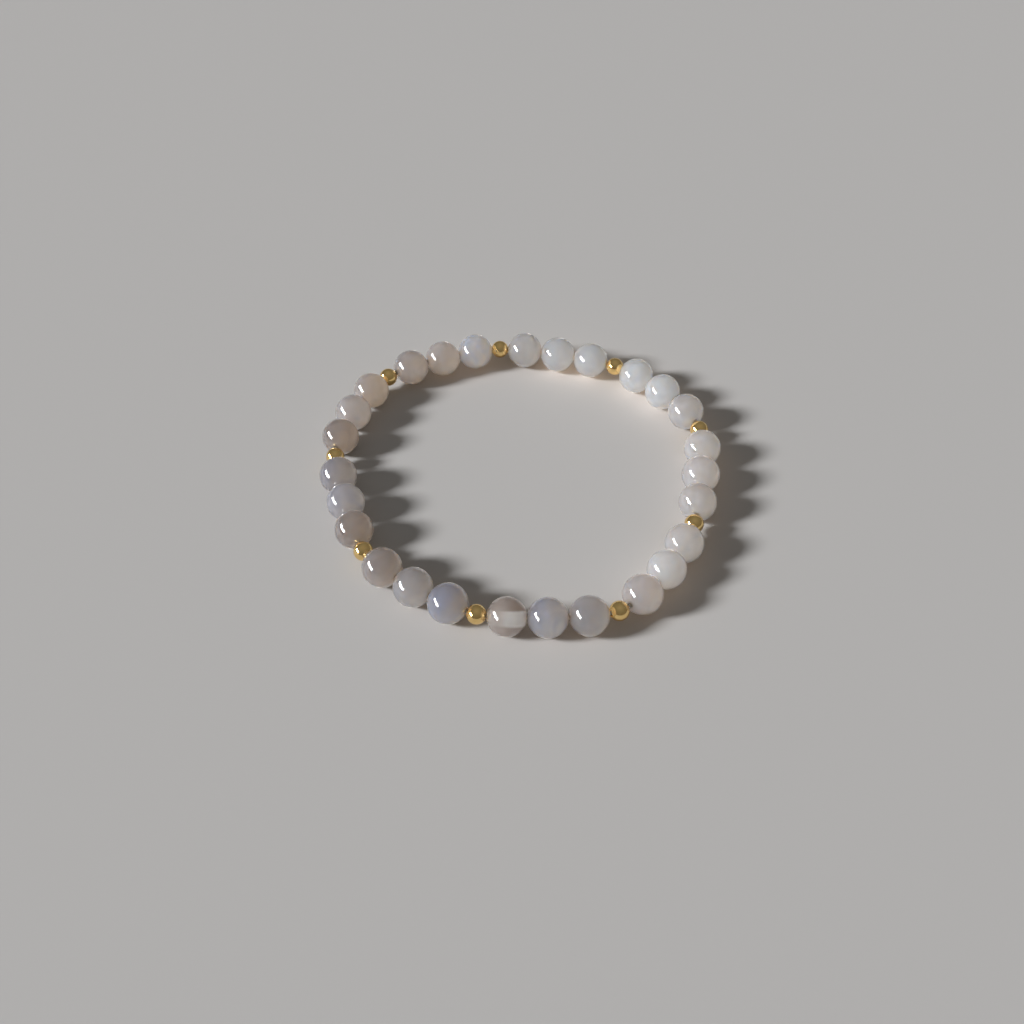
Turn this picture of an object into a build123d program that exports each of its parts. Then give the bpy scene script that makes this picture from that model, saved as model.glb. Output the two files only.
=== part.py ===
from build123d import *
import os
from math import asin, atan2, cos, degrees, dist, pi, radians, sin, sqrt

# A stretch bracelet lying flat: round polished stones and small hollow gold balls on an elastic thread.
# +Z is up, the bracelet rests on z = 0, and x = y = 0 is the middle of the box around it.

# ---------------------------------------------------------------------------------------------
# Driving dimensions, in millimetres and degrees
# ---------------------------------------------------------------------------------------------
BALLS = 9                      # gold balls around the loop
STONES_BETWEEN = 3             # stones from one ball to the next

STONE_DIAMETER = 6.0           # a middle-sized stone
SIEVE_STEP = 0.1               # a small or large stone is this much under or over a middle-sized one
STONE_CHART = (                # small, middle or large, for the stones after each ball in turn
    "SMM", "LMM", "MLM", "MMS", "MMM", "MMM", "MMM", "MMM", "LML",
)
STONE_PLAY = 0.2               # between the thread and the wall of a stone's hole, all round
HOLE_EDGE = 0.1                # width of the broken edge at each end of a stone's hole

BALL_DIAMETER = 3.0
BALL_WALL = 0.25               # sheet metal of a hollow ball
BALL_PLAY = 0.3                # between the thread and the rim of a ball's hole, all round

THREAD_DIAMETER = 0.6
THREAD_AIR = 0.1               # left over the thread where a ball hangs on it

BEAD_AIR = 0.03                # between the hole rims of two neighbours, on the inside of the bend

# How the loop lies: a circle with a few shallow waves in it.
FIRST_BALL_AT = -105.5         # direction of the first ball from the middle, counterclockwise from +X
LOOP_WAVES = (                 # waves around the loop, height as a share of its radius, direction of a crest
    (2, 0.020, -42.0),
    (3, 0.030, 33.0),
    (4, 0.019, 36.0),
    (5, 0.013, 15.0),
)
BALL_STEP_OUT = 0.6            # a ball sits this much further out than the waves alone would put it

THREAD_BEND_SHARE = 0.4        # of the shortest bead's length: how far the thread's bend reaches into a bead
RADIUS_SEARCH = 0.1            # the waving loop's radius is within this share of a plain circle's

# ---------------------------------------------------------------------------------------------
# Sizes that follow from them
# ---------------------------------------------------------------------------------------------
STONE_HOLE = THREAD_DIAMETER + 2 * STONE_PLAY
BALL_HOLE = THREAD_DIAMETER + 2 * BALL_PLAY
THREAD_HEIGHT = STONE_DIAMETER / 2
BALL_HEIGHT = THREAD_HEIGHT - (BALL_PLAY - THREAD_AIR)
GROUP = 1 + STONES_BETWEEN
BEADS = BALLS * GROUP
SIZE_CHANGE = {"S": -SIEVE_STEP, "M": 0.0, "L": SIEVE_STEP}


def is_ball(bead):
    """True for the first bead of each group, counting around the loop."""
    return bead % GROUP == 0


def bead_radius(bead):
    if is_ball(bead):
        return BALL_DIAMETER / 2
    letters = STONE_CHART[bead // GROUP % len(STONE_CHART)]
    letter = letters[(bead % GROUP - 1) % len(letters)]
    return (STONE_DIAMETER + SIZE_CHANGE[letter]) / 2


def rim_radius(bead):
    """Radius of the edge where a bead's round outside ends at its hole."""
    return BALL_HOLE / 2 if is_ball(bead) else STONE_HOLE / 2 + HOLE_EDGE


def bead_height(bead):
    """A stone rests on the surface, and a ball hangs on the thread."""
    return BALL_HEIGHT if is_ball(bead) else bead_radius(bead)


# ---------------------------------------------------------------------------------------------
# The loop: joint k is where bead k - 1 and bead k meet, and the thread bends only at the joints
# ---------------------------------------------------------------------------------------------
def reach(bead, bend):
    """From a bead's middle to a joint that bends this much, so that its rim just clears its neighbour's."""
    rim_angle = asin(rim_radius(bead) / bead_radius(bead))
    furthest = bead_radius(bead) * cos(max(rim_angle - bend / 2, 0))
    return (furthest + BEAD_AIR / 2) / cos(bend / 2)


def on_loop(loop_radius, joint, angle):
    """The point of the waving circle in one direction, stepped out beside a ball."""
    waves = sum(height * cos(count * (angle - radians(crest))) for count, height, crest in LOOP_WAVES)
    beside_ball = is_ball(joint) or is_ball(joint - 1)
    out = loop_radius * (1 + waves) + (BALL_STEP_OUT if beside_ball else 0)
    return out * cos(angle), out * sin(angle)


def halved(low, high, is_low, rounds=40):
    """The value where is_low turns from true to false, found by halving the stretch between two others."""
    for _ in range(rounds):
        middle = (low + high) / 2
        low, high = (middle, high) if is_low(middle) else (low, middle)
    return (low + high) / 2


def walk(loop_radius, lengths):
    """Joints one bead's length apart around a loop of this radius, and the angle that they cover."""
    start = angle = radians(FIRST_BALL_AT)
    joints = [on_loop(loop_radius, 0, angle)]
    for bead, length in enumerate(lengths):
        last, joint = joints[-1], (bead + 1) % BEADS
        angle = halved(angle, angle + 2 * length / loop_radius,
                       lambda a: dist(last, on_loop(loop_radius, joint, a)) < length)
        joints.append(on_loop(loop_radius, joint, angle))
    return joints[:-1], angle - start


def headings_of(joints):
    """The direction, in radians, from each joint to the next."""
    return [atan2(b[1] - a[1], b[0] - a[0]) for a, b in zip(joints, joints[1:] + joints[:1])]


def bends_of(headings):
    """The turn of the thread at each joint."""
    return [(headings[k] - headings[k - 1] + pi) % (2 * pi) - pi for k in range(BEADS)]


def lay_loop(settling_rounds=5):
    """Joints, bead middles, headings and bends of the closed loop, each joint as open as its bend needs."""
    bends = [2 * pi / BEADS] * BEADS
    for _ in range(settling_rounds):
        before = [reach(k, abs(bends[k])) for k in range(BEADS)]
        after = [reach(k, abs(bends[(k + 1) % BEADS])) for k in range(BEADS)]
        lengths = [a + b for a, b in zip(before, after)]
        plain = sum(lengths) / (2 * pi)
        loop_radius = halved(plain * (1 - RADIUS_SEARCH), plain * (1 + RADIUS_SEARCH),
                             lambda radius: walk(radius, lengths)[1] > 2 * pi)
        joints = walk(loop_radius, lengths)[0]
        headings = headings_of(joints)
        bends = bends_of(headings)
    middles = [
        (x + back * cos(heading), y + back * sin(heading))
        for (x, y), back, heading in zip(joints, before, headings)
    ]
    lows = [min(m[axis] - bead_radius(k) for k, m in enumerate(middles)) for axis in (0, 1)]
    highs = [max(m[axis] + bead_radius(k) for k, m in enumerate(middles)) for axis in (0, 1)]
    shift = [(low + high) / 2 for low, high in zip(lows, highs)]
    joints = [(x - shift[0], y - shift[1]) for x, y in joints]
    middles = [(x - shift[0], y - shift[1]) for x, y in middles]
    return joints, middles, headings, bends


# ---------------------------------------------------------------------------------------------
# The pieces: both beads are turned about +Y, and then placed with +Y along the thread
# ---------------------------------------------------------------------------------------------
def drilled_stone(radius):
    """A round stone with a hole right through it and a broken edge at each end of the hole."""
    hole = STONE_HOLE / 2
    rim = hole + HOLE_EDGE
    rim_height = sqrt(radius**2 - rim**2)
    hole_height = rim_height - HOLE_EDGE
    round_side = ThreePointArc((rim, rim_height), (radius, 0), (rim, -rim_height))
    hole_side = Polyline((rim, -rim_height), (hole, -hole_height), (hole, hole_height), (rim, rim_height))
    return revolve(make_face([round_side, hole_side]), axis=Axis.Y)


def hollow_ball(radius):
    """A thin-walled metal ball, open at the rim of each hole."""
    hole = BALL_HOLE / 2
    inside = radius - BALL_WALL
    rim_height = sqrt(radius**2 - hole**2)
    inner_height = sqrt(inside**2 - hole**2)
    outer_side = ThreePointArc((hole, rim_height), (radius, 0), (hole, -rim_height))
    lower_rim = Line((hole, -rim_height), (hole, -inner_height))
    inner_side = ThreePointArc((hole, -inner_height), (inside, 0), (hole, inner_height))
    upper_rim = Line((hole, inner_height), (hole, rim_height))
    return revolve(make_face([outer_side, lower_rim, inner_side, upper_rim]), axis=Axis.Y)


def thread_through(joints, headings):
    """A round thread, straight inside each bead, with a tangent arc at each joint, closed on itself."""
    ahead = [Vector(cos(h), sin(h)) for h in headings]
    corners = [Vector(x, y, THREAD_HEIGHT) for x, y in joints]
    lengths = [dist(a, b) for a, b in zip(joints, joints[1:] + joints[:1])]
    bend_reach = THREAD_BEND_SHARE * min(lengths)
    starts = [corner - ahead[k - 1] * bend_reach for k, corner in enumerate(corners)]
    ends = [corner + ahead[k] * bend_reach for k, corner in enumerate(corners)]
    runs = []
    for k in range(BEADS):
        runs.append(TangentArc(starts[k], ends[k], tangent=ahead[k - 1]))
        runs.append(Line(ends[k], starts[(k + 1) % BEADS]))
    path = Wire(runs)
    section = Plane(origin=starts[0], z_dir=ahead[-1]) * Circle(THREAD_DIAMETER / 2)
    return sweep(section, path=path), path.length


# ---------------------------------------------------------------------------------------------
# Build, check and write
# ---------------------------------------------------------------------------------------------
joints, middles, headings, bends = lay_loop()

pieces = {}
for bead, (x, y) in enumerate(middles):
    place = Location((x, y, bead_height(bead)), (0, 0, degrees(headings[bead]) - 90))
    group, place_in_group = divmod(bead, GROUP)
    if is_ball(bead):
        pieces[f"gold_ball_{group + 1}"] = place * hollow_ball(bead_radius(bead))
    else:
        name = f"stone_bead_{group * STONES_BETWEEN + place_in_group:02d}"
        pieces[name] = place * drilled_stone(bead_radius(bead))
pieces["elastic_thread"], thread_length = thread_through(joints, headings)

os.makedirs("parts", exist_ok=True)
for name, piece in pieces.items():
    export_step(piece, f"parts/{name}.step")

box = Compound(children=list(pieces.values())).bounding_box()
swept = pi * THREAD_DIAMETER**2 / 4 * thread_length
print("nodes", len(pieces), "box", box.min, box.max)
print("thread length", round(thread_length, 2), "volume", pieces["elastic_thread"].volume, "expected", swept)
print("bends between stones up to", max(abs(degrees(b)) for k, b in enumerate(bends) if k % GROUP > 1))
print("bends beside a ball up to", max(abs(degrees(b)) for k, b in enumerate(bends) if k % GROUP < 2))
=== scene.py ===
# %% [markdown]
# # A stretch bracelet of milky stones and small gold balls
#
# The bracelet is a closed string: twenty-seven round, polished, cloudy stones on a clear elastic
# thread, with a small hollow gold ball after every third stone. It lies flat, as it was dropped, so
# its loop is a circle with a few shallow waves in it. The measured model gives each bead's place, and
# this lesson gives the beads their real surfaces: stone that light sinks into, bright metal with a
# rolled rim at each hole, and a thread that only shows in the gaps.

# %% Load the measured model
import math
import random

import bmesh
import bpy
import numpy as np
from mathutils import Matrix, Vector


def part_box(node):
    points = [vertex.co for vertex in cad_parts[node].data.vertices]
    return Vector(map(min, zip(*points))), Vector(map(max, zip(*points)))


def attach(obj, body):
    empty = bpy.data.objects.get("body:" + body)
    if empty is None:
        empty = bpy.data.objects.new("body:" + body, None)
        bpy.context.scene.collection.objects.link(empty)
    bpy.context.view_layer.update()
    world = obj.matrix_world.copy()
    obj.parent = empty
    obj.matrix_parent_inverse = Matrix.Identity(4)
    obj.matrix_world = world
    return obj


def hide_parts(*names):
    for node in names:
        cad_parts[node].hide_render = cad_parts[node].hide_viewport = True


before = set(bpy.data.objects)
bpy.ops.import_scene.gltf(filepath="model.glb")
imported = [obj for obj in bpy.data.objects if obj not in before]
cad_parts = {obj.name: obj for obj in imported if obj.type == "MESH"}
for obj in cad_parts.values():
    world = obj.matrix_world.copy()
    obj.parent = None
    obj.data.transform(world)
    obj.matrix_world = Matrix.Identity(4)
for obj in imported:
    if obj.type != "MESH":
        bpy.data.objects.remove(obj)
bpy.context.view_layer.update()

MM = 0.001
print("pieces in the measured model:", len(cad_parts))

# %% [markdown]
# ## Where the camera stands
#
# A camera is a place, a direction and a lens. It could be parented to an empty and orbited, or its
# place worked out from an angle. The second keeps the numbers plain: it looks down at the front of
# the loop from 49 degrees above the table and about 17 cm away, with a lens a little longer than a
# telephone's. The near clip has to be short, because the whole scene is smaller than a hand.

# %% Camera
CAMERA_RISE = math.radians(48.8)
CAMERA_DISTANCE = 170.6 * MM
CAMERA_LENS = 38.7
LOOKED_AT = Vector((-1.4, -9.1, 3.0)) * MM
NEAR_CLIP = 5 * MM

camera_data = bpy.data.cameras.new("camera")
camera_data.lens = CAMERA_LENS
camera_data.clip_start = NEAR_CLIP
camera = bpy.data.objects.new("camera", camera_data)
camera.location = LOOKED_AT + CAMERA_DISTANCE * Vector((0, -math.cos(CAMERA_RISE), math.sin(CAMERA_RISE)))
camera.rotation_euler = (math.pi / 2 - CAMERA_RISE, 0, 0)
bpy.context.scene.collection.objects.link(camera)
bpy.context.scene.camera = camera
print("camera at, in mm:", [round(v / MM, 1) for v in camera.location])

# %% [markdown]
# ## Small helpers
#
# An operator acts on everything that is selected, so each step starts with nothing selected and one
# object active. Nodes are added and wired many times below, and a few small functions keep those lines
# short.

# %% Helpers for operators and nodes


def only(piece):
    """Select one object and nothing else, and make it the active one."""
    bpy.ops.object.select_all(action="DESELECT")
    piece.select_set(True)
    bpy.context.view_layer.objects.active = piece


def add_node(tree, kind, **values):
    """A node with some of its inputs set: underscores in a name stand for spaces."""
    node = tree.nodes.new(kind)
    for name, value in values.items():
        node.inputs[name.replace("_", " ")].default_value = value
    return node


def new_material(name):
    """A material with an empty Principled shader: the tree, the shader and the object coordinates."""
    material = bpy.data.materials.new(name)
    material.use_nodes = True
    tree = material.node_tree
    shader = tree.nodes["Principled BSDF"]
    coordinates = tree.nodes.new("ShaderNodeTexCoord").outputs["Object"]
    return material, tree, shader, coordinates


def from_attribute(tree, name, output):
    """Read one of the directions stored on the stone's points."""
    reader = tree.nodes.new("ShaderNodeAttribute")
    reader.attribute_name = name
    return reader.outputs[output]


def blend_colours(tree, first, second, share):
    """Mix two colours by a value that comes from another node."""
    mix = tree.nodes.new("ShaderNodeMix")
    mix.data_type = "RGBA"
    for socket, colour in ((mix.inputs[6], first), (mix.inputs[7], second)):
        if isinstance(colour, tuple):
            socket.default_value = (*colour, 1)
        else:
            tree.links.new(colour, socket)
    tree.links.new(share, mix.inputs["Factor"])
    return mix.outputs[2]


def soft_step(tree, value, low, high, bottom=0.0, top=1.0):
    """A smooth ramp from bottom to top as a value goes from low to high."""
    step = tree.nodes.new("ShaderNodeMapRange")
    step.interpolation_type = "SMOOTHSTEP"
    step.inputs["From Min"].default_value = low
    step.inputs["From Max"].default_value = high
    step.inputs["To Min"].default_value = bottom
    step.inputs["To Max"].default_value = top
    tree.links.new(value, step.inputs["Value"])
    return step.outputs["Result"]


# %% [markdown]
# ## The table and the light
#
# Polished stone shows whatever is around it, so the light is part of the finish. A single lamp would
# leave a dot on each bead and black around it. Here a sun-like lamp from the left, 29 degrees up,
# makes the long shadow. Two window panes beside it light nothing and only show in polished things,
# where they draw the slanted bar of light on each stone. The sky is dim, and
# only a little paler overhead, so that each gold ball keeps a dark top over a bright lower edge.

# %% Floor
FLOOR_SIZE = 3.0
FLOOR_COLOUR = (0.525, 0.525, 0.53, 1)
FLOOR_ROUGHNESS = 0.65
FLOOR_SHINE = 0.05

bpy.ops.object.select_all(action="DESELECT")
bpy.ops.mesh.primitive_plane_add(size=FLOOR_SIZE, location=(0, 0, 0))
floor = bpy.context.active_object
floor.name = "floor"
floor_paint, _, shader, _ = new_material("pale_floor")
shader.inputs["Base Color"].default_value = FLOOR_COLOUR
shader.inputs["Roughness"].default_value = FLOOR_ROUGHNESS
shader.inputs["Specular IOR Level"].default_value = FLOOR_SHINE
floor.data.materials.append(floor_paint)
print("floor, in metres across:", FLOOR_SIZE)

# %% Lights
SUN_FROM = Vector((-0.84, -0.19, 0.478))
SUN_STRENGTH = 4.2
SUN_ANGLE = math.radians(12)
SUN_COLOUR = (1.0, 0.985, 0.97)
WINDOW_FROM = Vector((-0.907, -0.208, 0.364))
WINDOW_DISTANCE = 1.0
PANE_SIZE = (0.40, 0.20)
PANE_GAP = 0.03
PANE_POWER = 8.0
SKY_FILL = (0.165, 0.158, 0.148)
SKY_LOW = (0.17, 0.165, 0.155)
SKY_HIGH = (0.26, 0.255, 0.245)
SKY_RISE = 3.0


def aim(lamp, direction, distance):
    """Put a lamp out in one direction from the middle, shining back at it."""
    lamp.location = direction.normalized() * distance
    lamp.rotation_euler = direction.to_track_quat("Z", "Y").to_euler()


def add_lamp(name, kind, direction, distance, energy):
    """A lamp of one kind, out in one direction and aimed at the middle."""
    data = bpy.data.lights.new(name, kind)
    data.energy = energy
    lamp = bpy.data.objects.new(name, data)
    aim(lamp, direction, distance)
    bpy.context.scene.collection.objects.link(lamp)
    return lamp


def only_reflected(lamp):
    """Let a lamp show in polished things, and light nothing."""
    lamp.visible_camera = lamp.visible_diffuse = lamp.visible_transmission = False


sun = add_lamp("sun", "SUN", SUN_FROM, WINDOW_DISTANCE, SUN_STRENGTH)
sun.data.angle = SUN_ANGLE
sun.data.color = SUN_COLOUR
sun.visible_glossy = False

for side in (-1, 1):
    pane = add_lamp(f"pane_{side}", "AREA", WINDOW_FROM, WINDOW_DISTANCE, PANE_POWER)
    pane.data.shape = "RECTANGLE"
    pane.data.size, pane.data.size_y = PANE_SIZE
    along_window = pane.rotation_euler.to_matrix() @ Vector((1, 0, 0))
    pane.location += along_window * side * (PANE_SIZE[0] + PANE_GAP) / 2
    only_reflected(pane)

world = bpy.data.worlds.new("sky")
world.use_nodes = True
sky = world.node_tree
height = sky.nodes.new("ShaderNodeSeparateXYZ")
sky.links.new(sky.nodes.new("ShaderNodeTexCoord").outputs["Generated"], height.inputs["Vector"])
rise = sky.nodes.new("ShaderNodeMath")
rise.operation = "POWER"
rise.use_clamp = True
rise.inputs[1].default_value = SKY_RISE
sky.links.new(height.outputs["Z"], rise.inputs[0])
overhead = blend_colours(sky, SKY_LOW, SKY_HIGH, rise.outputs["Value"])
reflected = sky.nodes.new("ShaderNodeLightPath").outputs["Is Glossy Ray"]
shown = blend_colours(sky, SKY_FILL, overhead, reflected)
sky.links.new(shown, sky.nodes["Background"].inputs["Color"])
bpy.context.scene.world = world
bpy.context.scene.view_settings.view_transform = "Standard"
print("sun height in degrees:", round(math.degrees(math.asin(SUN_FROM.normalized().z)), 1))

# %% [markdown]
# ## Where each bead sits
#
# Every bead is drilled through, and the hole has to lie along the thread. The box around a bead gives
# its middle. The direction of its hole could be guessed from its neighbours, but the measured bead
# knows it exactly: the points at the two mouths of the hole are nearer the middle than the round
# outside is, and the line through both groups of them is the hole.

# %% Read middle and hole direction of each bead
HOLE_POINTS = 0.985


def bead_place(node_name):
    """Middle, outer radius and hole direction of a bead in the measured model."""
    low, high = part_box(node_name)
    middle = (low + high) / 2
    points = np.array([v.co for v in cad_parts[node_name].data.vertices]) - np.array(middle)
    distance = np.linalg.norm(points, axis=1)
    radius = distance.max()
    mouths = points[distance < HOLE_POINTS * radius]
    along = np.linalg.svd(mouths, full_matrices=False)[2][0]
    return middle, float(radius), Vector(along).normalized()


stone_names = sorted(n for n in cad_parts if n.startswith("stone_bead"))
ball_names = sorted(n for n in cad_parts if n.startswith("gold_ball"))
places = {name: bead_place(name) for name in stone_names + ball_names}
print("stones:", len(stone_names), "balls:", len(ball_names))
print("first stone, radius in mm:", round(places[stone_names[0]][1] / MM, 3))

# %% [markdown]
# ## One drilled stone
#
# A bead maker rolls a cube of rough stone round, drills it from both ends and breaks the sharp edge
# of the hole. The model is a sphere whose poles are the two ends of the hole. Its caps are cut off
# flat, each cut edge is drawn in to a short hole with a flat bottom, and the rim is bevelled. The real
# hole goes right through, and the two edges could be bridged to make it. But light that sinks through
# a milky stone shows such a tunnel as a dark band, so only the ends that can be seen are drilled.

# %% Model one stone, standing on its hole
STONE_RADIUS = 3.0 * MM
STONE_HOLE = 0.42 * MM
RIM_BEVEL = 0.06 * MM
BEVEL_STEPS = 4
AROUND = 72
RINGS = 48
BLIND_DEPTH = 0.6 * MM
TOUCH = 0.001 * MM


def open_ball(name, radius, hole, around, rings):
    """A sphere with both polar caps cut off where the hole comes out."""
    bpy.ops.object.select_all(action="DESELECT")
    bpy.ops.mesh.primitive_uv_sphere_add(segments=around, ring_count=rings, radius=radius)
    piece = bpy.context.active_object
    piece.name = piece.data.name = name
    mouth = math.sqrt(radius**2 - hole**2)
    bpy.ops.object.mode_set(mode="EDIT")
    for side in (1, -1):
        bpy.ops.mesh.select_all(action="SELECT")
        bpy.ops.mesh.bisect(
            plane_co=(0, 0, side * mouth), plane_no=(0, 0, side), clear_outer=True, threshold=TOUCH
        )
    bpy.ops.object.mode_set(mode="OBJECT")
    return piece, mouth


def select_mouths(piece, mouth, sides=(1, -1)):
    """In edit mode, select the ring of edges where the round outside meets the hole, on these sides."""
    bpy.ops.mesh.select_mode(type="EDGE")
    bpy.ops.mesh.select_all(action="DESELECT")
    rims = bmesh.from_edit_mesh(piece.data)
    for edge in rims.edges:
        edge.select = any(all(abs(v.co.z - side * mouth) < TOUCH for v in edge.verts) for side in sides)
    rims.select_flush_mode()
    bmesh.update_edit_mesh(piece.data)


stone_pattern, stone_mouth = open_ball("stone_pattern", STONE_RADIUS, STONE_HOLE, AROUND, RINGS)
bpy.ops.object.mode_set(mode="EDIT")
for side in (1, -1):
    select_mouths(stone_pattern, stone_mouth, (side,))
    bpy.ops.mesh.extrude_edges_move(TRANSFORM_OT_translate={"value": (0, 0, -side * BLIND_DEPTH)})
    bpy.ops.mesh.edge_face_add()
select_mouths(stone_pattern, stone_mouth)
bpy.ops.mesh.bevel(offset=RIM_BEVEL, segments=BEVEL_STEPS, profile=0.5, affect="EDGES")
bpy.ops.mesh.select_all(action="SELECT")
bpy.ops.mesh.normals_make_consistent(inside=False)
bpy.ops.object.mode_set(mode="OBJECT")
bpy.ops.object.shade_smooth()
print("faces of one stone:", len(stone_pattern.data.polygons))

# %% [markdown]
# ## One hollow gold ball
#
# The small balls aren't solid gold. A thin tube is pressed into a ball, so that its wall is a quarter
# of a millimetre thick and its edge curls in at each hole. The same open sphere is given that wall by
# Solidify, which closes the edges too, and a bevel rounds the two lips, because it is a bright line
# on the lip that makes a metal bead look like metal.

# %% Model one gold ball
BALL_RADIUS = 1.5 * MM
BALL_HOLE = 0.5 * MM
BALL_WALL = 0.25 * MM
LIP_BEVEL = 0.08 * MM
LIP_ANGLE = math.radians(40)
BALL_AROUND = 56
BALL_RINGS = 36

ball_pattern, _ = open_ball("ball_pattern", BALL_RADIUS, BALL_HOLE, BALL_AROUND, BALL_RINGS)
only(ball_pattern)
wall = ball_pattern.modifiers.new("wall", "SOLIDIFY")
wall.thickness = BALL_WALL
wall.offset = -1
lips = ball_pattern.modifiers.new("lips", "BEVEL")
lips.width = LIP_BEVEL
lips.segments = BEVEL_STEPS
lips.limit_method = "ANGLE"
lips.angle_limit = LIP_ANGLE
bpy.ops.object.modifier_apply(modifier="wall")
bpy.ops.object.modifier_apply(modifier="lips")
bpy.ops.object.shade_smooth()
print("faces of one ball:", len(ball_pattern.data.polygons))

# %% [markdown]
# ## Stringing the beads
#
# Each bead is a copy of its pattern with a mesh of its own, turned so that its hole lies along the
# thread and moved to its place. The turn about the hole is random, and a real stone is never quite
# round, so each one is a hair narrower one way. Each point also stores how far it lies from the light
# and where it is along and across the hole, because the painted light in the stones' colours follows
# those two.

# %% Copy, turn and place the beads
OUT_OF_ROUND = 0.012
# FAR_SIDE: away from the lamp, a little to the front and down; the painted glow on each stone grows this
# way
FAR_SIDE = Vector((0.95, -0.22, -0.25))
LEAN = 0.25
# BAND_FACES points at the camera; the clear stone's painted band lies in the plane through its hole and
# the camera
BAND_FACES = Vector((0, -0.66, 0.75))

random.seed(7)


def mark_directions(piece, middle, radius, along):
    """Store on each point how far it lies away from the light, and its place along and across the hole."""
    across = along.cross(BAND_FACES).normalized()
    lean = FAR_SIDE + Vector([random.uniform(-LEAN, LEAN) for _ in range(3)])
    far = piece.data.attributes.new("far_side", "FLOAT", "POINT")
    drill = piece.data.attributes.new("drill", "FLOAT_VECTOR", "POINT")
    for i, point in enumerate(piece.data.vertices):
        out = (point.co - middle) / radius
        far.data[i].value = out.dot(lean.normalized())
        drill.data[i].vector = (out.dot(along), -out.dot(across), out.dot(BAND_FACES))


def strung(pattern, pattern_radius, name, node_name, uneven):
    """A copy of a pattern on one bead's place, its hole along the thread."""
    middle, radius, along = places[node_name]
    piece = pattern.copy()
    piece.data = pattern.data.copy()
    piece.name = piece.data.name = name
    bpy.context.scene.collection.objects.link(piece)
    grow = radius / pattern_radius
    narrow = Matrix.Diagonal((grow * (1 - random.uniform(0, uneven)), grow, grow, 1))
    roll = Matrix.Rotation(random.uniform(0, 2 * math.pi), 4, "Z")
    lie = along.to_track_quat("Z", "Y").to_matrix().to_4x4()
    piece.data.transform(Matrix.Translation(middle) @ lie @ roll @ narrow)
    if along.x < 0:
        along = -along
    mark_directions(piece, middle, radius, along)
    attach(piece, "root")
    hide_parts(node_name)
    return piece


stones = [
    strung(stone_pattern, STONE_RADIUS, f"polished_stone_{i + 1:02d}", name, OUT_OF_ROUND)
    for i, name in enumerate(stone_names)
]
balls = [
    strung(ball_pattern, BALL_RADIUS, f"pressed_ball_{i + 1}", name, 0)
    for i, name in enumerate(ball_names)
]
bpy.data.objects.remove(stone_pattern)
bpy.data.objects.remove(ball_pattern)
print("beads strung:", len(stones) + len(balls))

# %% [markdown]
# ## The thread
#
# The elastic runs straight inside each bead and bends only between two of them. A curve with one
# point in the middle of each bead does the same by itself, if its handles lie along the holes: the
# bend then falls at the joint. It is closed, as the real loop is, with its knot hidden in a bead.

# %% Run the thread through the beads
THREAD_RADIUS = 0.3 * MM
HANDLE_SHARE = 0.42
ROUND_STEPS = 5
BEND_STEPS = 10
STONES_BETWEEN = 3

order = []
for i, ball_name in enumerate(ball_names):
    order += [ball_name, *stone_names[STONES_BETWEEN * i:STONES_BETWEEN * (i + 1)]]
thread_low, thread_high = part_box("elastic_thread")
thread_height = (thread_low.z + thread_high.z) / 2

thread_curve = bpy.data.curves.new("thread_line", "CURVE")
thread_curve.dimensions = "3D"
thread_curve.bevel_depth = THREAD_RADIUS
thread_curve.bevel_resolution = ROUND_STEPS
thread_curve.resolution_u = BEND_STEPS
run = thread_curve.splines.new("BEZIER")
run.bezier_points.add(len(order) - 1)
run.use_cyclic_u = True
for i, name in enumerate(order):
    here = places[name][0].copy()
    here.z = thread_height
    before, after = places[order[i - 1]][0], places[order[(i + 1) % len(order)]][0]
    along = places[name][2].copy()
    if along.dot(after - before) < 0:
        along.negate()
    point = run.bezier_points[i]
    point.co = here
    point.handle_left_type = point.handle_right_type = "FREE"
    point.handle_left = here - along * (here - before).length * HANDLE_SHARE
    point.handle_right = here + along * (after - here).length * HANDLE_SHARE
thread = bpy.data.objects.new("elastic_line", thread_curve)
bpy.context.scene.collection.objects.link(thread)
only(thread)
bpy.ops.object.convert(target="MESH")
bpy.ops.object.shade_smooth()
thread = bpy.context.active_object
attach(thread, "root")
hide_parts("elastic_thread")
print("faces of the thread:", len(thread.data.polygons))

# %% [markdown]
# ## The stone
#
# The stone is taken for a banded quartz with very fine fibres in it. Light goes in, is scattered, and
# comes out a few millimetres on. Blue light is turned back soonest, so the side towards the lamp looks
# cool, and red light gets furthest, so the far side glows warm. A plain colour can't do that, nor can
# clear glass. Subsurface scattering can, with a long reach that sends most of the light onward, and
# painted light helps it: the colour runs from dark and cool towards the lamp to pale and warm on the far
# side. Soft clouds vary the body, and every stone is given one of a few looks and a lightness, which on
# stones 18 to 27 is also painted shade. One is nearly clear, with a pale band along its hole, partly the
# frosted hole seen through the stone and partly painted light that brightens away from the lamp.

# %% Stone looks
STONE_LOOKS = {
    # colour towards the light, colour on the far side (painted light: dark and cool, then pale and warm),
    # reach of red, green and blue
    "grey": ((0.222, 0.212, 0.228), (0.50, 0.435, 0.405), (1.0, 0.81, 0.66)),
    "lilac": ((0.212, 0.205, 0.250), (0.49, 0.42, 0.40), (1.0, 0.79, 0.61)),
    "blue": ((0.225, 0.240, 0.325), (0.46, 0.40, 0.375), (1.0, 0.77, 0.58)),
    "taupe": ((0.225, 0.200, 0.200), (0.49, 0.39, 0.33), (1.0, 0.81, 0.65)),
    "cream": ((0.300, 0.284, 0.290), (0.60, 0.52, 0.475), (1.0, 0.82, 0.66)),
    "white": ((0.420, 0.412, 0.412), (0.71, 0.67, 0.63), (1.0, 0.80, 0.64)),
    "dusk": ((0.225, 0.235, 0.300), (0.46, 0.43, 0.42), (1.0, 0.90, 0.80)),
}
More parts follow.
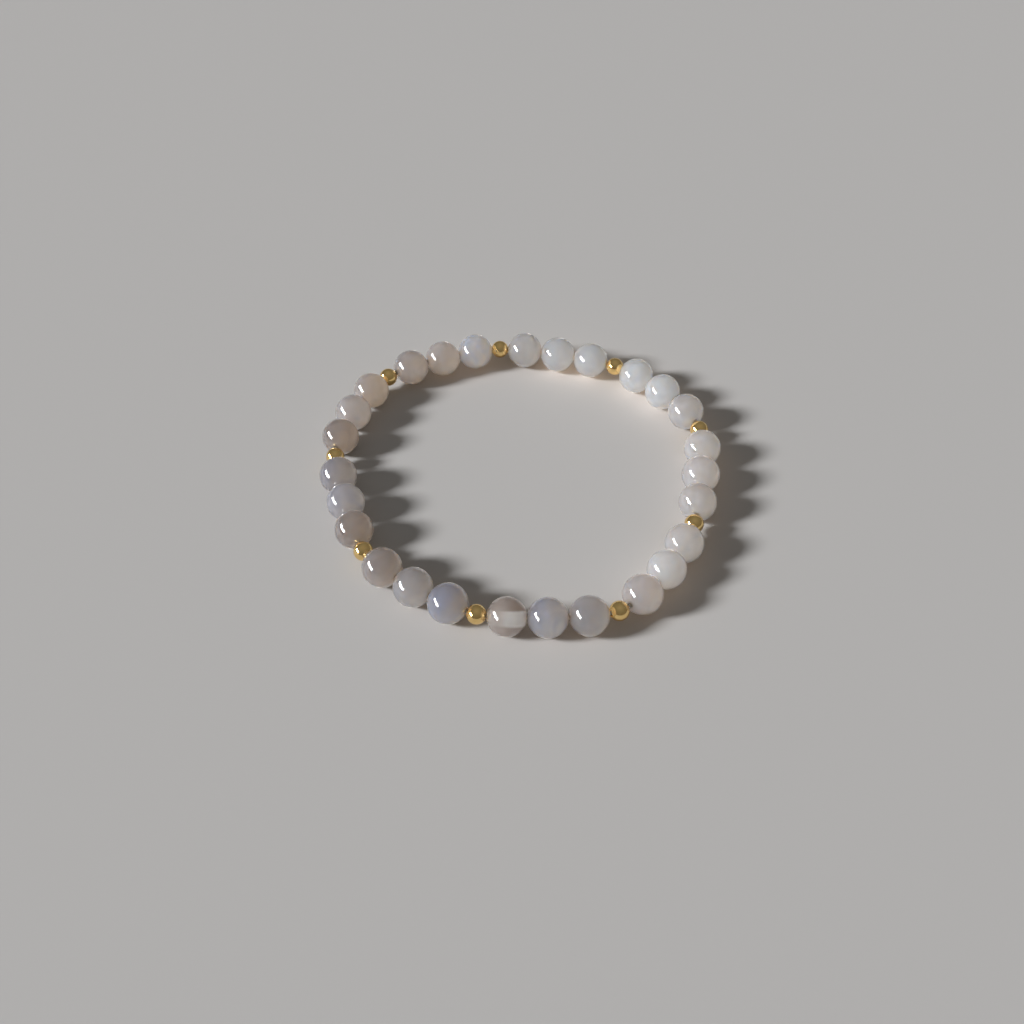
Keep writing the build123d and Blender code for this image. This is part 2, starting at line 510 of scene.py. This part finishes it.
STONE_CHART = [
    # look, and how light this stone is: its own tone, and on stones 18 to 27 also painted shade
    ("clear", 1.0), ("lilac", 1.15), ("grey", 1.0),
    ("grey", 1.1), ("white", 1.55), ("cream", 1.2),
    ("cream", 1.0), ("cream", 1.1), ("cream", 1.3),
    ("cream", 1.1), ("white", 2.1), ("white", 1.8),
    ("white", 2.2), ("white", 2.0), ("cream", 1.05),
    # stones 18 to 27, from the third in this row, are darker for their own tone and also for painted shade
    # over that side of the loop
    ("blue", 1.7), ("taupe", 1.1), ("grey", 0.6),
    ("taupe", 0.7), ("grey", 0.75), ("grey", 0.4),
    ("dusk", 0.4), ("dusk", 0.55), ("grey", 0.4),
    ("grey", 0.5), ("grey", 0.75), ("blue", 0.65),
]
REACH = 80 * MM
STONE_POLISH = {
    "Roughness": 0.05,
    "IOR": 1.54,
    "Subsurface Weight": 1.0,
    "Subsurface Anisotropy": 0.8,
    "Coat Weight": 1.0,
    "Coat Roughness": 0.03,
    "Coat IOR": 1.54,
    "Sheen Weight": 0.8,
    "Sheen Roughness": 0.15,
    "Sheen Tint": (1.0, 0.95, 0.90, 1),
}
NEAR_TO_FAR = (-0.7, 0.95)
CLOUD_EDGES = (0.40, 0.75)
CLOUD_SHARE = 0.6
CLOUD_PALER = 1.28


def polish(shader, reach, depth):
    """What all the stones share: light that runs on through them, under a wet-looking polish."""
    for socket, value in STONE_POLISH.items():
        shader.inputs[socket].default_value = value
    shader.inputs["Subsurface Radius"].default_value = reach
    shader.inputs["Subsurface Scale"].default_value = depth


def lit(colour, light):
    """A colour made lighter or darker, and no lighter than white."""
    return tuple(min(1, c * light) for c in colour)


def stone_finish(name, light):
    """Milky stone with faint clouds, and painted light: dark and cool towards the light, pale and warm on
    the far side.
    """
    near, far, reach = STONE_LOOKS[name]
    material, tree, shader, coordinates = new_material(f"stone_{name}_{round(light * 100)}")
    clouds = add_node(tree, "ShaderNodeTexNoise", Scale=300.0, Detail=2.0, Roughness=0.45, Distortion=0.8)
    tree.links.new(coordinates, clouds.inputs["Vector"])
    # painted light: the base colour turns from dark and cool to pale and warm across the stone, away from
    # the lamp, for light that has passed through it
    shade = soft_step(tree, from_attribute(tree, "far_side", "Fac"), *NEAR_TO_FAR)
    body = blend_colours(tree, lit(near, light), lit(far, light), shade)
    share = soft_step(tree, clouds.outputs["Fac"], *CLOUD_EDGES, 0.0, CLOUD_SHARE)
    cloudy = blend_colours(tree, body, lit(near, light * CLOUD_PALER), share)
    tree.links.new(cloudy, shader.inputs["Base Color"])
    polish(shader, reach, REACH)
    return material


milky_looks = sorted(set(entry for entry in STONE_CHART if entry[0] != "clear"))
stone_materials = {entry: stone_finish(*entry) for entry in milky_looks}
print("milky looks:", len(stone_materials))

# %% Clear stone
CLEAR_BODY = (0.25, 0.212, 0.198)
# the band's colour: partly the frosted hole seen through the clear stone, partly painted light
CLEAR_BAND = (1.0, 0.97, 0.93)
CLEAR_REACH = (1.0, 0.93, 0.86)
CLEAR_SHARE = 0.15
BAND_TOP = (0.40, 0.27)
BAND_BOTTOM = (-0.50, -0.32)
BAND_LENGTH = (-0.50, 0.85)
BAND_FAINTEST = 0.05

clear_stone, tree, shader, _ = new_material("stone_clear")
drill = tree.nodes.new("ShaderNodeSeparateXYZ")
tree.links.new(from_attribute(tree, "drill", "Vector"), drill.inputs["Vector"])
# a pale band around the plane through the hole and the camera, partly the frosted hole seen through the
# stone and partly painted light, brighter towards the end away from the lamp
upper = soft_step(tree, drill.outputs["Y"], *BAND_TOP)
lower = soft_step(tree, drill.outputs["Y"], *BAND_BOTTOM)
painted_gather = soft_step(tree, drill.outputs["X"], *BAND_LENGTH, BAND_FAINTEST, 1.0)
band = upper
for share in (lower, painted_gather):
    both = tree.nodes.new("ShaderNodeMath")
    both.operation = "MULTIPLY"
    tree.links.new(band, both.inputs[0])
    tree.links.new(share, both.inputs[1])
    band = both.outputs["Value"]
tree.links.new(blend_colours(tree, CLEAR_BODY, CLEAR_BAND, band), shader.inputs["Base Color"])
polish(shader, CLEAR_REACH, REACH / 2)
shader.inputs["Transmission Weight"].default_value = CLEAR_SHARE
stone_materials[("clear", 1.0)] = clear_stone

for stone, look in zip(stones, STONE_CHART):
    stone.data.materials.append(stone_materials[look])
print("stones finished:", len(stones))

# %% [markdown]
# ## Light that comes through the stones
#
# Light that sinks into a milky stone comes out again low down, warmer, and tints the shadow close to
# it. The renderer follows such light only roughly, so a very weak warm lamp in the middle of each
# stone stands in for it, stronger in a pale stone, which lets more through. It casts no shadow, so
# its light leaves the stone, and it shows in nothing.

# %% Glow from the stones
GLOW_POWER = 0.00007
GLOW_COLOUR = (1.0, 0.70, 0.45)
GLOW_SIZE = 0.5 * MM

for name, (_, light) in zip(stone_names, STONE_CHART):
    glow = add_lamp(f"glow_{name[-2:]}", "POINT", WINDOW_FROM, WINDOW_DISTANCE, GLOW_POWER * light)
    glow.location = places[name][0]
    glow.data.color = GLOW_COLOUR
    glow.data.use_shadow = False
    glow.data.shadow_soft_size = GLOW_SIZE
    glow.visible_camera = glow.visible_glossy = glow.visible_transmission = False
print("glow lamps:", len(stone_names))

# %% [markdown]
# ## Gold plate
#
# A metal has no colour of its own beyond its reflection, so the tint goes in the base colour at full
# metallic. Plating over brass is nearly a mirror, with the faint unevenness of tumbling.

# %% Gold finish
GOLD_DEEP = (0.94, 0.63, 0.24)
GOLD_PALE = (1.0, 0.75, 0.34)
GOLD_ROUGHNESS = (0.06, 0.16)

gold, tree, shader, coordinates = new_material("gold_plate")
tumbling = add_node(tree, "ShaderNodeTexNoise", Scale=1800.0, Detail=3.0)
tree.links.new(coordinates, tumbling.inputs["Vector"])
tone = blend_colours(tree, GOLD_DEEP, GOLD_PALE, tumbling.outputs["Fac"])
tree.links.new(tone, shader.inputs["Base Color"])
shine = tree.nodes.new("ShaderNodeMapRange")
shine.inputs["To Min"].default_value, shine.inputs["To Max"].default_value = GOLD_ROUGHNESS
tree.links.new(tumbling.outputs["Fac"], shine.inputs["Value"])
tree.links.new(shine.outputs["Result"], shader.inputs["Roughness"])
shader.inputs["Metallic"].default_value = 1.0
for ball in balls:
    ball.data.materials.append(gold)
print("balls finished:", len(balls))

# %% [markdown]
# ## The elastic
#
# Clear elastic isn't quite clear: it is a bundle of fine strands with a milky look. It only shows in
# the gaps, so a pale body that lets a little light in does as well as glass would, with less noise.
# The light's reach is the same for every colour, or such a thin thread would look green.

# %% Elastic finish
ELASTIC_DEEP = (0.90, 0.88, 0.84)
ELASTIC_PALE = (0.97, 0.96, 0.93)
ELASTIC_ROUGHNESS = 0.35
ELASTIC_MILK = 0.5
ELASTIC_REACH = 0.3 * MM

elastic, tree, shader, coordinates = new_material("milky_elastic")
strands = add_node(tree, "ShaderNodeTexNoise", Scale=5000.0, Detail=2.0)
tree.links.new(coordinates, strands.inputs["Vector"])
milk = blend_colours(tree, ELASTIC_DEEP, ELASTIC_PALE, strands.outputs["Fac"])
tree.links.new(milk, shader.inputs["Base Color"])
shader.inputs["Roughness"].default_value = ELASTIC_ROUGHNESS
shader.inputs["Subsurface Weight"].default_value = ELASTIC_MILK
shader.inputs["Subsurface Radius"].default_value = (1.0, 1.0, 1.0)
shader.inputs["Subsurface Scale"].default_value = ELASTIC_REACH
thread.data.materials.append(elastic)
print("thread finished:", thread.name)
